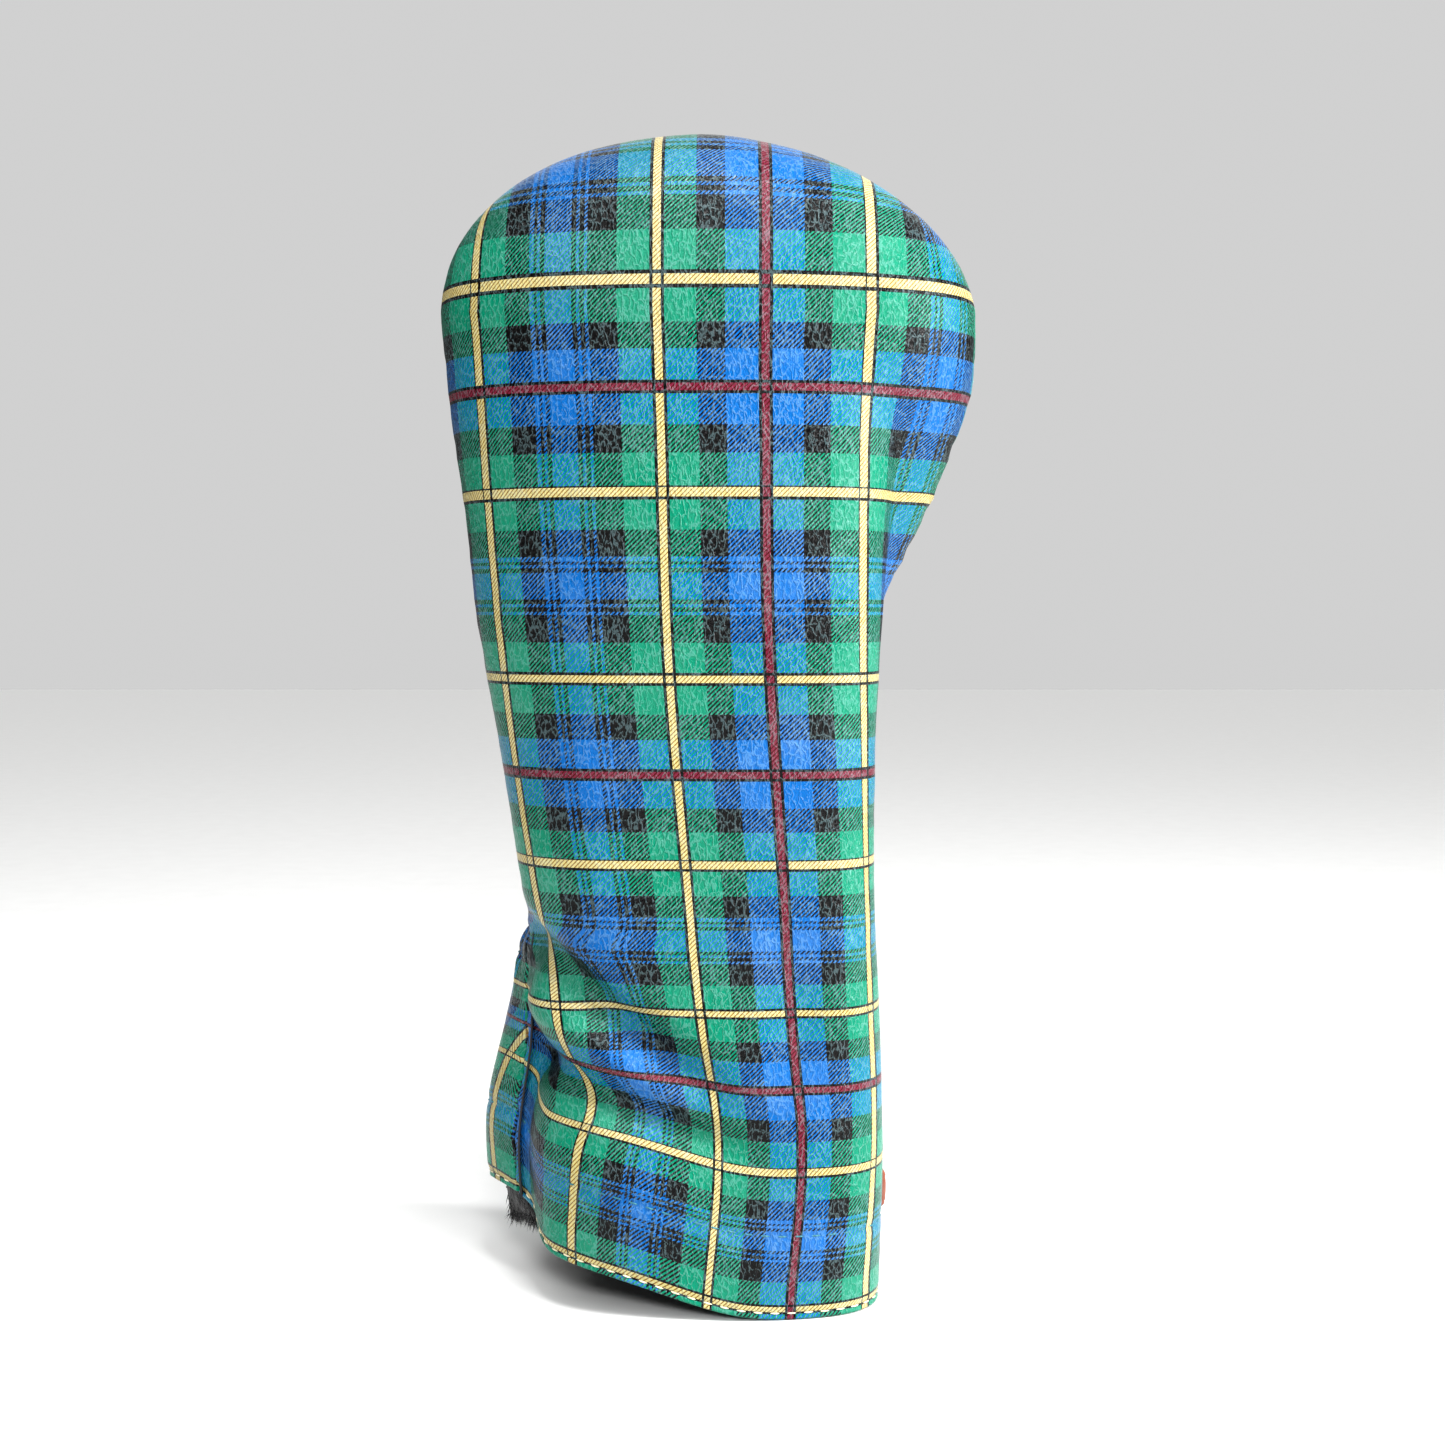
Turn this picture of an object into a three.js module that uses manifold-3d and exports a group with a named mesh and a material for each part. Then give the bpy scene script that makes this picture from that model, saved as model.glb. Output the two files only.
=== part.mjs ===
// A head cover for a golf driver, standing on its hem with the mouth down.
//
// Two sewn panels of printed leathercloth, front and back, meet in one seam that runs up the
// left side, over the crown and down the right side. Behind them lie a turned hem, foam, three
// neck elastics and a seam tape, and a fleece lining closes the wall on the inside. Every layer
// is a stretch of one wall round the same body, taken at its own depth below the outer face.
//
// Millimetres, +Z up. The origin is the middle of the box at hem level and the front faces -Y.

import * as THREE from 'three';
import { mergeVertices } from 'three/addons/utils/BufferGeometryUtils.js';
import Module from 'manifold-3d';

// Heights above the hem
const coverHeight = 320;
const crownHeight = 50;          // from the widest section up to the crown
const shoulderHeight = 189;      // where the head swells out of the neck
const neckHeight = 105;          // the narrowest section, in the middle of the elastics

// Reach of the outer face from the centre line, at four heights
const headHalfWidth = 75;
const headHalfDepth = 42.5;
const shoulder = { left: 64.5, right: 47.8, front: 38.5, back: 35 };
const neck = { left: 51, right: 46.4, front: 32.5, back: 27 };
const hem = { left: 48, right: 48.6, front: 33, back: 34 };
const sectionFullness = 2.4;     // 2 is an ellipse, more is boxier

// The rear skirt below the elastics falls in flutes; the one at the left is the large one.
const flutes = [
  { angle: 164, reach: 16, spread: 15 },
  { angle: 112, reach: 6, spread: 14 },
  { angle: 68, reach: 7, spread: 14 },
  { angle: 26, reach: 3, spread: 12 },
];
const hemLift = 22;              // the hem rides up at the left side
const hemLiftAngle = 173;
const hemLiftSpread = 32;

// Wall layers, from the outside in
const panelThickness = 1.3;
const facingThickness = 1.3;
const tapeThickness = 0.6;
const elasticThickness = 1.0;
const paddingThickness = 3;
const liningThickness = 3;
const layerGap = 0.3;

// Widths of the narrow pieces
const seamGap = 0.3;
const seamTapeWidth = 8;
const facingHeight = 25;
const elasticWidth = 9;
const elasticPitch = 12;
const paddingAboveNeck = 26;     // the rear foam starts above the elastics
const elasticSeamMargin = 3;     // the elastics stop short of the seam tape

// Thread rows
const threadDiameter = 0.6;
const hemEdgeRow = 2;            // above the hem edge
const hemTopRow = 23;
const threadSeamMargin = 1.9;    // from the seam to the end of a row
const threadSides = 6;

// The leather tab in the right side seam
const tabHeight = 12;
const tabThickness = 2;
const tabReach = 1.6;            // proud of the seam
const tabRoot = 4;               // caught between the panels
const tabCornerRadius = 1.2;
const tabMiddleHeight = 27;

const degrees = Math.PI / 180;
const columns = 40;
const equatorHeight = coverHeight - crownHeight;
const slotDepth = panelThickness + layerGap;
const liningDepth = slotDepth + paddingThickness + layerGap;

const wasm = await Module();
wasm.setup();

// ---------- The body that every layer follows ----------

// A smooth curve through one reach at the four heights. Above the widest section it is constant.
function reachCurve(side, headReach) {
  const heights = [0, neckHeight, shoulderHeight, equatorHeight];
  const values = [hem[side], neck[side], shoulder[side], headReach];
  const curve = new THREE.CubicInterpolant(heights, values, 1);
  return (z) => curve.evaluate(Math.min(Math.max(z, 0), equatorHeight))[0];
}

const reach = {
  left: reachCurve('left', headHalfWidth),
  right: reachCurve('right', shoulder.right),
  front: reachCurve('front', headHalfDepth),
  back: reachCurve('back', headHalfDepth),
};

// The toe of the club head pushes the right side out above the shoulder.
function toeSwell(z) {
  const rise = (z - shoulderHeight) / (equatorHeight - shoulderHeight);
  const share = Math.sin(Math.min(Math.max(rise, 0), 1) * Math.PI / 2);
  return share * (headHalfWidth - shoulder.right);
}

function sectionReaches(angle, z) {
  const across = Math.cos(angle) < 0 ? reach.left(z) : reach.right(z) + toeSwell(z);
  const deep = Math.sin(angle) < 0 ? reach.front(z) : reach.back(z);
  return { across, deep };
}

// Smooth bump of height 1 at 0 that ends at -1 and 1.
function bump(t) {
  return Math.abs(t) < 1 ? Math.cos(t * Math.PI / 2) ** 2 : 0;
}

// The flutes grow below the neck, are fullest in the lower skirt and ease in again at the hem.
function fluteReach(angle, z) {
  const fall = Math.max(neckHeight - z, 0) / (neckHeight + hemLift);
  const growth = Math.sin(fall * Math.PI);
  let total = 0;
  for (const flute of flutes) {
    const offset = (angle / degrees - flute.angle) / (2 * flute.spread);
    total += flute.reach * growth * bump(offset);
  }
  return total;
}

// Distance from the centre line to the outer face, in the direction of angle.
function bodyRadius(angle, z) {
  const { across, deep } = sectionReaches(angle, z);
  const x = Math.abs(Math.cos(angle)) / across;
  const y = Math.abs(Math.sin(angle)) / deep;
  const power = sectionFullness;
  return (x ** power + y ** power) ** (-1 / power) + fluteReach(angle, z);
}

function hemHeightAt(angle) {
  return hemLift * bump((angle / degrees - hemLiftAngle) / hemLiftSpread);
}

// A row is a level round the body. Rows of the skirt keep their height above the hem where the
// hem rides up, rows of the body are level, and rows of the crown close over the top.
const skirtRow = (height) => ({
  place(angle, depth) {
    const z = height + hemHeightAt(angle) * (1 - height / neckHeight);
    return { radius: bodyRadius(angle, z) - depth, z };
  },
});

const bodyRow = (z) => ({
  place: (angle, depth) => ({ radius: bodyRadius(angle, z) - depth, z }),
});

const crownRow = (elevation) => ({
  place(angle, depth) {
    const radius = (bodyRadius(angle, equatorHeight) - depth) * Math.cos(elevation);
    return { radius, z: equatorHeight + (crownHeight - depth) * Math.sin(elevation) };
  },
});

function pointOn(row, angle, depth) {
  const { radius, z } = row.place(angle, depth);
  return new THREE.Vector3(radius * Math.cos(angle), radius * Math.sin(angle), z);
}

// Column angles are even along the section, not round the centre.
function columnAngle(share) {
  const turn = share * 2 * Math.PI;
  const flattening = headHalfDepth / headHalfWidth;
  const angle = Math.atan2(flattening * Math.sin(turn), Math.cos(turn));
  return angle < 0 ? angle + 2 * Math.PI : angle;
}

function stepsBetween(low, high, count) {
  return Array.from({ length: count }, (_, i) => low + (high - low) * i / count);
}

const elasticBottom = neckHeight - elasticPitch;
const elasticTop = neckHeight + elasticPitch;
const skirtRows = stepsBetween(facingHeight, elasticBottom, 3).map(skirtRow);
const elasticRows = [elasticBottom, neckHeight, elasticTop].map(bodyRow);
const neckRows = stepsBetween(elasticTop, shoulderHeight, 2).slice(1).map(bodyRow);
const headRows = stepsBetween(shoulderHeight, equatorHeight, 4).map(bodyRow);
const crownRows = [0, 25, 48, 68, 82, 90].map((elevation) => crownRow(elevation * degrees));
const bodyRows = [skirtRow(0), ...skirtRows, ...elasticRows, ...neckRows, ...headRows, ...crownRows];

// ---------- Solids ----------

function toManifold(geometry) {
  geometry.deleteAttribute('normal');
  geometry.deleteAttribute('uv');
  const welded = mergeVertices(geometry, 1e-4);
  const corners = welded.index.array;
  const kept = [];
  for (let i = 0; i < corners.length; i += 3) {
    const [a, b, c] = corners.slice(i, i + 3);
    if (a !== b && b !== c && c !== a) kept.push(a, b, c);
  }
  return new wasm.Manifold(new wasm.Mesh({
    numProp: 3,
    vertProperties: new Float32Array(welded.attributes.position.array),
    triVerts: new Uint32Array(kept),
  }));
}

function toGeometry(solid) {
  const { vertProperties, triVerts } = solid.getMesh();
  const geometry = new THREE.BufferGeometry();
  geometry.setAttribute('position', new THREE.BufferAttribute(vertProperties, 3));
  geometry.setIndex(new THREE.BufferAttribute(triVerts, 1));
  geometry.computeVertexNormals();
  return geometry;
}

// The closed wall between two depths: up the outer face, down the inner one and back. Both
// faces split their quads along the same diagonal, so that neighbouring layers stay parallel.
function wall(rows, depth, thickness) {
  const outer = rows.map((row) => ({ row, depth }));
  const inner = rows.map((row) => ({ row, depth: depth + thickness })).reverse();
  const loop = [...outer, ...inner];
  const positions = [];
  const index = [];
  loop.forEach((level, i) => {
    const next = ((i + 1) % loop.length) * columns;
    const goingUp = i < rows.length;
    for (let j = 0; j < columns; j += 1) {
      positions.push(...pointOn(level.row, columnAngle(j / columns), level.depth));
      const a = i * columns + j;
      const b = i * columns + (j + 1) % columns;
      const c = next + (j + 1) % columns;
      const d = next + j;
      index.push(...(goingUp ? [a, b, d, b, c, d] : [a, b, c, a, c, d]));
    }
  });
  const geometry = new THREE.BufferGeometry();
  geometry.setAttribute('position', new THREE.Float32BufferAttribute(positions, 3));
  geometry.setIndex(index);
  return toManifold(geometry);
}

function block(low, high) {
  const size = new THREE.Vector3().subVectors(high, low);
  const geometry = new THREE.BoxGeometry(size.x, size.y, size.z);
  geometry.translate(low.x + size.x / 2, low.y + size.y / 2, low.z + size.z / 2);
  return toManifold(geometry);
}

const roomAround = 2 * (headHalfWidth + coverHeight);

// Everything in front of (side -1) or behind (side 1) the seam plane, from `margin` away.
function half(side, margin, zLow = -roomAround, zHigh = roomAround) {
  const near = side * margin;
  const far = side * roomAround;
  const low = new THREE.Vector3(-roomAround, Math.min(near, far), zLow);
  const high = new THREE.Vector3(roomAround, Math.max(near, far), zHigh);
  return block(low, high);
}

const cover = new THREE.Group();

function addPiece(name, geometry, finish) {
  const mesh = new THREE.Mesh(geometry, new THREE.MeshStandardMaterial(finish));
  mesh.name = name;
  cover.add(mesh);
}

const printedLeathercloth = { color: 0x1f6f86, roughness: 0.45, metalness: 0 };
const leatherclothBacking = { color: 0x2d5c66, roughness: 0.6, metalness: 0 };
const blackFleece = { color: 0x0d0d0f, roughness: 1, metalness: 0 };
const greyFoam = { color: 0x8c8f92, roughness: 0.9, metalness: 0 };
const wovenTape = { color: 0x1b1b1d, roughness: 0.85, metalness: 0 };
const blackElastic = { color: 0x18181a, roughness: 0.8, metalness: 0 };
const creamThread = { color: 0xefe6c4, roughness: 0.7, metalness: 0 };
const tanLeather = { color: 0xb06a48, roughness: 0.55, metalness: 0 };

// ---------- The leather tab and the room it needs in the seam ----------

const tabEdge = hem.right + (neck.right - hem.right) * (tabMiddleHeight / neckHeight);

// A rectangle in X and Z with two rounded outer corners, `thickness` deep across the seam.
function tabGeometry(clearance) {
  const inner = tabEdge - tabRoot - clearance;
  const outer = tabEdge + tabReach + clearance;
  const low = tabMiddleHeight - tabHeight / 2 - clearance;
  const high = tabMiddleHeight + tabHeight / 2 + clearance;
  const radius = tabCornerRadius;
  const outline = new THREE.Shape();
  outline.moveTo(inner, low);
  outline.lineTo(outer - radius, low);
  outline.absarc(outer - radius, low + radius, radius, -Math.PI / 2, 0, false);
  outline.lineTo(outer, high - radius);
  outline.absarc(outer - radius, high - radius, radius, 0, Math.PI / 2, false);
  outline.lineTo(inner, high);
  outline.closePath();
  const depth = tabThickness + 2 * clearance;
  const geometry = new THREE.ExtrudeGeometry(outline, { depth, bevelEnabled: false, curveSegments: 4 });
  geometry.rotateX(Math.PI / 2);
  geometry.translate(0, depth / 2, 0);
  return geometry;
}

const tabRoom = toManifold(tabGeometry(layerGap));

// ---------- Layers ----------

const outerWall = wall(bodyRows, 0, panelThickness);
const liningWall = wall(bodyRows, liningDepth, liningThickness);
const facingRows = bodyRows.slice(0, 2);
const facingWall = wall(facingRows, slotDepth, facingThickness);
const paddingRows = [skirtRow(facingHeight + layerGap), ...bodyRows.slice(2)];
const paddingWall = wall(paddingRows, slotDepth, paddingThickness);
const tapeWall = wall(bodyRows, slotDepth, tapeThickness);
const aroundElastics = [skirtRows.at(-1), ...elasticRows, neckRows[0]];
const elasticWall = wall(aroundElastics, slotDepth, elasticThickness);

const besideTape = seamTapeWidth / 2 + layerGap;

for (const [name, side] of [['front', -1], ['back', 1]]) {
  const fromSeam = half(side, seamGap / 2);
  const fromTape = half(side, besideTape);
  const panel = outerWall.intersect(fromSeam).subtract(tabRoom);
  addPiece(`${name}_panel`, toGeometry(panel), printedLeathercloth);
  addPiece(`${name}_hem_facing`, toGeometry(facingWall.intersect(fromTape)), leatherclothBacking);
  addPiece(`${name}_lining`, toGeometry(liningWall.intersect(fromSeam)), blackFleece);
}

const rearFoam = half(1, besideTape, neckHeight + paddingAboveNeck);
addPiece('front_padding', toGeometry(paddingWall.intersect(half(-1, besideTape))), greyFoam);
addPiece('back_padding', toGeometry(paddingWall.intersect(rearFoam)), greyFoam);

const tapeStrip = tapeWall.subtract(half(-1, seamTapeWidth / 2)).subtract(half(1, seamTapeWidth / 2));
addPiece('seam_tape', toGeometry(tapeStrip.subtract(tabRoom)), wovenTape);

addPiece('side_tab', toGeometry(toManifold(tabGeometry(0))), tanLeather);

// ---------- Elastics and thread rows ----------

// A path of straight steps whose corners fall on the given points.
class RowPath extends THREE.Curve {
  constructor(points) {
    super();
    this.points = points;
  }

  getPoint(t, target = new THREE.Vector3()) {
    const last = this.points.length - 1;
    const step = Math.min(Math.floor(t * last), last - 1);
    return target.lerpVectors(this.points[step], this.points[step + 1], t * last - step);
  }

  getPointAt(u, target) {
    return this.getPoint(u, target);
  }

  getTangentAt(u, target) {
    return this.getTangent(u, target);
  }
}

// A thread laid on the outer face at one row, from seam to seam on one side. It turns where
// the columns of the panel turn, so that it keeps its gap to every facet.
function threadGeometry(row, side) {
  const depth = -(layerGap + threadDiameter / 2);
  const seamRadius = pointOn(row, 0, depth).length();
  const first = side < 0 ? Math.PI : 0;
  const endAngle = Math.asin(threadSeamMargin / seamRadius);
  const angles = [first + endAngle];
  for (let i = 1; i < columns / 2; i += 1) {
    angles.push(columnAngle(first / (2 * Math.PI) + i / columns));
  }
  angles.push(first + Math.PI - endAngle);
  const path = new RowPath(angles.map((angle) => pointOn(row, angle, depth)));
  const section = new THREE.Shape();
  section.absarc(0, 0, threadDiameter / 2, 0, 2 * Math.PI, false);
  return new THREE.ExtrudeGeometry(section, {
    steps: angles.length - 1,
    curveSegments: threadSides / 2,
    bevelEnabled: false,
    extrudePath: path,
  });
}

for (const [name, side] of [['front', -1], ['back', 1]]) {
  addPiece(`${name}_hem_edge_thread`, threadGeometry(skirtRow(hemEdgeRow), side), creamThread);
  addPiece(`${name}_hem_top_thread`, threadGeometry(skirtRow(hemTopRow), side), creamThread);
}

const elasticPlaces = { lower: -1, middle: 0, upper: 1 };
for (const [name, place] of Object.entries(elasticPlaces)) {
  const middle = neckHeight + place * elasticPitch;
  const margin = besideTape + elasticSeamMargin;
  const band = half(1, margin, middle - elasticWidth / 2, middle + elasticWidth / 2);
  addPiece(`${name}_neck_elastic`, toGeometry(elasticWall.intersect(band)), blackElastic);
  addPiece(`${name}_elastic_thread`, threadGeometry(bodyRow(middle), 1), creamThread);
}

export default cover;
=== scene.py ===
# %% [markdown]
# # A tartan driver head cover
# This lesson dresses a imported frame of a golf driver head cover: two sewn panels of printed
# leathercloth, foam, a fleece lining, elastics, thread and a leather tab. Every soft solid of
# the frame is replaced by a finished surface that lies where the solid lay.
# The frame is loaded first, because every place and size below is read from it or stands
# beside it as a named value.

# %% Load the frame
import math

import bpy
import numpy as np
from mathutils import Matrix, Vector


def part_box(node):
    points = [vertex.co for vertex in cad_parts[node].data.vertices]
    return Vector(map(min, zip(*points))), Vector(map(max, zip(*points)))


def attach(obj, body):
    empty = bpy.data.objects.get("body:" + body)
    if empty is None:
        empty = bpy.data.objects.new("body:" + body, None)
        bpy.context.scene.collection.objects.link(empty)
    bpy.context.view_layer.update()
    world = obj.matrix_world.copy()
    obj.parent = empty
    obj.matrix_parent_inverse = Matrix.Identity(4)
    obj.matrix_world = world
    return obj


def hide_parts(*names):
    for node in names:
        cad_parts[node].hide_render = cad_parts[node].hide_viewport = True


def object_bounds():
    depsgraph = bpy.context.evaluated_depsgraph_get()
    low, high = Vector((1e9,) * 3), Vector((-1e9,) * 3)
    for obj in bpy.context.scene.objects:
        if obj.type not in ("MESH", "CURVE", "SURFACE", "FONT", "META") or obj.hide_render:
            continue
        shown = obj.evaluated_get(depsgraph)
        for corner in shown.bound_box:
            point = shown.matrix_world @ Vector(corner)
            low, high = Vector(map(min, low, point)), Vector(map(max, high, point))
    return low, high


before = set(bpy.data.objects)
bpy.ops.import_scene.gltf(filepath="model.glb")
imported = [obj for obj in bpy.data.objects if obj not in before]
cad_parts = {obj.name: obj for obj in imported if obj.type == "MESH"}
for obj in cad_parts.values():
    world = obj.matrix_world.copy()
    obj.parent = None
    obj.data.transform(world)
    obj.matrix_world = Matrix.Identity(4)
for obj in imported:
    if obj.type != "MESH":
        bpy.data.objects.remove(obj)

cad_box = [list(corner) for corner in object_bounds()]
MM = 0.001


def node_box(name):
    """Lowest and highest corner of a frame node, in millimetres."""
    low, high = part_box(name)
    return np.array(low) / MM, np.array(high) / MM


# %% [markdown]
# ## The body under every layer
# A head cover is a bag pulled over a club head, so its shape is a stack of closed sections.
# Each section reaches a certain way to the left, right, front and back. Four smooth curves
# give those reaches at every height, and a superellipse joins them into one ring: with a
# power of 2 it is an ellipse, and with a higher power it has flatter faces and tighter
# corners. All lengths in the shape functions are millimetres.

# %% Heights and reaches
crown_height = cad_box[1][2] / MM
head_half_width = cad_box[1][0] / MM
head_half_depth = cad_box[1][1] / MM
crown_rise = 50
equator = crown_height - crown_rise
shoulder = 189
neck = float(np.mean([box[2] for box in node_box("middle_neck_elastic")]))
elastic_rows = [float(np.mean([box[2] for box in node_box(f"{name}_elastic_thread")]))
                for name in ("lower", "middle", "upper")]
hem_edge_row = 2
hem_top_row = 23
print("equator", round(equator, 1), "neck", round(neck, 1), "elastic rows", elastic_rows)


def smooth_curve(heights, values):
    """A smooth curve through the values: cubic pieces that share their slopes."""
    heights, values = np.array(heights, float), np.array(values, float)
    slopes = np.gradient(values, heights)

    def at(z):
        """The curve's value at these heights; it stays level beyond its ends."""
        z = np.clip(z, heights[0], heights[-1])
        i = np.clip(np.searchsorted(heights, z) - 1, 0, len(heights) - 2)
        width = heights[i + 1] - heights[i]
        t = (z - heights[i]) / width
        start = values[i] * (1 + 2 * t) * (1 - t) ** 2 + slopes[i] * width * t * (1 - t) ** 2
        end = values[i + 1] * t * t * (3 - 2 * t) + slopes[i + 1] * width * t * t * (t - 1)
        return start + end

    return at


stations = [0, neck, 150, shoulder, 230, equator]
side_stations = [0, 42, 72, *stations[1:]]
reach_left = smooth_curve(side_stations, [47.5, 49.5, 47, 51, 57, 63.5, 68.8, 73.2])
reach_right = smooth_curve(side_stations, [48.4, 49.2, 48.2, 46.4, 46.3, 47.8, 52, 58])
reach_front = smooth_curve(stations, [33, 32.5, 35, 38.5, 41, head_half_depth])
reach_back = smooth_curve(stations, [34, 27, 30, 35, 40, head_half_depth])
power_front_left = smooth_curve(stations, [2.8, 3.0, 3.0, 2.8, 2.6, 2.5])
power_front_right = smooth_curve(stations, [3.6, 4.2, 4.4, 4.4, 3.4, 2.5])
POWER_BACK = 2.4

# %% Sections


def ease(t):
    """0 below 0, 1 above 1, and a smooth step between."""
    t = np.clip(t, 0, 1)
    return t * t * (3 - 2 * t)


def bump(t):
    """A smooth hill: 1 at 0, falling to 0 at -1 and 1."""
    return np.where(np.abs(t) < 1, np.cos(np.clip(t, -1, 1) * np.pi / 2) ** 2, 0)


def hill(t):
    """A round hill with long feet: e to the power of minus t squared."""
    return np.exp(-t * t)


def ring(angle, across, deep, power):
    """Distance from the centre line to a superellipse with these half axes."""
    x, y = np.abs(np.cos(angle)) / across, np.abs(np.sin(angle)) / deep
    return (x ** power + y ** power) ** (-1 / power)


def larger(a, b, softness):
    """The larger of two values, with a rounded change-over."""
    return (a + b + np.sqrt((a - b) ** 2 + softness ** 2)) / 2


# each flute: degrees round from the right side, reach, and degrees to where half of it is left
flutes = [(161, 20, 15), (112, 6, 14), (68, 7, 14), (26, 3, 12)]
flute_top = neck - 4
flute_run = neck + 16  # longer than the skirt, so that the flutes are still open at the hem


def flute_reach(angle, z):
    """The rear skirt's flutes: hills round the section that swell below the neck."""
    turn = np.degrees(angle) % 360
    growth = np.sin(np.clip((flute_top - z) / flute_run, 0, 1) * np.pi) ** 0.6
    return growth * sum(reach * bump((turn - at) / (2 * half)) for at, reach, half in flutes)


TOE_START = 45.5  # sideways reach of the toe where it begins, at the shoulder
CREST_RUN = 36  # height over which the two rings melt into one below the equator
head_reach = head_half_width - 1


def body_radius(angle, z):
    """Distance from the centre line to the outer face.

    Up to the shoulder it is one superellipse. Above it a second ring, the toe of the club
    head, swells out on the right behind a crease, and the larger of the two rings shows.
    Towards the equator both melt into one plain ring, which carries the crown.
    """
    left, front = np.cos(angle) < 0, np.sin(angle) < 0
    across = np.where(left, reach_left(z), reach_right(z))
    deep = np.where(front, reach_front(z), reach_back(z))
    power = np.where(front, np.where(left, power_front_left(z), power_front_right(z)), POWER_BACK)
    main = ring(angle, across, deep, power)
    rise = np.clip((z - shoulder) / (equator - shoulder), 0, 1)
    toe_across = TOE_START + np.sin(rise * np.pi / 2) * (head_reach - TOE_START)
    toe_deep = np.where(front, 14 + rise ** 0.8 * 26, 20 + rise ** 0.7 * 21)
    toe = ring(angle, toe_across, toe_deep, 2.1 + 0.3 * rise)
    whole = ring(angle, np.where(left, reach_left(z), head_reach), deep, 2.45)
    crest = ease((z - equator + CREST_RUN) / CREST_RUN)
    shown = np.where(left | (z < shoulder), main, larger(main, toe, 1.2))
    return shown * (1 - crest) + whole * crest + flute_reach(angle, z)


print("widest", float(body_radius(np.array(0.0), np.array(equator))))

# %% [markdown]
# ## One surface for every layer
# A point of the cover is found from three numbers: how far round it lies from seam to seam,
# how high its row is, and how deep it lies below the outer face. Rows are level round the
# neck, ride up with the hem at the left side and close over the crown as a round dome. The
# club head fills the upper part, so the crown needs no fold.

# %% Rows and places
LIFT_FULL_BELOW = 30  # the whole hem rides up as one below this height
LIFT_FADE = 62  # and over this much height the lift dies out
# each hill of the hem: its height, degrees round from the right side, and degrees to its foot
hem_hills = [(12, 170, 38), (15, 190, 115)]


def hem_lift(angle):
    """How far the hem rides up: a tight hill at the left side on a broad low one."""
    turn = np.degrees(angle) % 360
    return sum(height * bump((turn - at) / foot) for height, at, foot in hem_hills)


SAG_MIDDLE = 168  # degrees round to the place where the lining hangs lowest
SAG_SPREAD = 40  # degrees from there to where it hangs as the hem does
SAG_TOP = 30  # height above which nothing sags


def place(side, share, row, depth=0.0, sag=0.0):
    """A point on the layer at `depth`: share runs 0 to 1 from the left to the right seam.

    side is -1 in front and 1 behind. A row below the equator is a height; above it the rest
    of the way to the crown is an angle from 0 to 90 degrees on a dome, whose section is the
    angle's cosine and sine to a power, fuller in front and behind than at the ends. sag lets
    a loose layer hang lower at the left side, most at the hem.
    """
    turn = np.pi * (1 - share) * side
    flat = head_half_depth / head_half_width
    angle = np.arctan2(flat * np.sin(turn), np.cos(turn))
    rising = np.clip((row - equator) / crown_rise, 0, 1) * np.pi / 2
    level = np.minimum(row, equator)
    z = level + hem_lift(angle) * (1 - ease((level - LIFT_FULL_BELOW) / LIFT_FADE))
    turned = np.degrees(angle) % 360
    z = z - sag * bump((turned - SAG_MIDDLE) / SAG_SPREAD) * (1 - ease(level / SAG_TOP))
    fullness = 2 / (2 - 0.16 * np.cos(angle)) * (1 - 0.26 * np.sin(angle) ** 2)
    radius = (body_radius(angle, z) - depth) * np.cos(rising) ** fullness
    z = z + (crown_rise - depth) * np.sin(rising) ** fullness
    return np.stack([radius * np.cos(angle), radius * np.sin(angle), z], axis=-1)


def outward(points, side):
    """Unit normals of a grid of points, from the steps along its rows and columns."""
    across = np.gradient(points, axis=1)
    up = np.gradient(points, axis=0)
    normal = np.cross(across, up) * -side
    length = np.linalg.norm(normal, axis=-1, keepdims=True)
    centre = points * [1, 1, 0]
    radial = centre / np.maximum(np.linalg.norm(centre, axis=-1, keepdims=True), 1e-6)
    return np.where(length > 1e-9, normal / np.maximum(length, 1e-9), radial)


def lattice_noise(points, size, seed):
    """Smooth random heights from -1 to 1: random values on a lattice, eased between."""
    values = np.random.default_rng(seed).uniform(-1, 1, (16, 16, 16))
    cell = points / size
    base = np.floor(cell).astype(int)
    t = cell - base
    t = t * t * (3 - 2 * t)
    total = np.zeros(points.shape[:-1])
    for corner in np.ndindex(2, 2, 2):
        index = (base + corner) % 16
        weight = np.prod(np.where(corner, t, 1 - t), axis=-1)
        total = total + weight * values[index[..., 0], index[..., 1], index[..., 2]]
    return total


# %% [markdown]
# ## Folds, drags and puckers
# The cover is thick and springy, so it hardly creases. Two soft drag folds start where the
# elastics pinch the left seam and run down across the front, with a ridge between them and
# low swells beyond. Along every seam and thread row the leathercloth puckers a little, and
# over the elastics at the back it gathers into short upright pleats. Each of these is a
# height to add along the normal, worked out from the place of the point alone.

# %% Fold heights
# each crease: its start and end in the front view, its depth and its width
creases = [((-47, 99), (8, 57), 6.2, 5.5), ((-48, 68), (16, 43), 5.0, 4.8),
           ((-50, 84), (0, 60), -3.0, 5.5), ((-44, 44), (10, 26), -1.6, 8)]
# each swell: its height (a dent's is negative), its middle, and its widths across and up
swells = [(1.8, 10, 68, 12, 13), (1.2, 36, 92, 9, 22), (-1.2, 24, 84, 8, 26),
          (-1.0, -14, 128, 16, 20)]


def along_line(x, z, start, end):
    """Share along a line in the front view, and the distance beside it."""
    (x0, z0), (x1, z1) = start, end
    length = math.hypot(x1 - x0, z1 - z0)
    dx, dz = (x1 - x0) / length, (z1 - z0) / length
    return ((x - x0) * dx + (z - z0) * dz) / length, (x - x0) * dz - (z - z0) * dx


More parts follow.
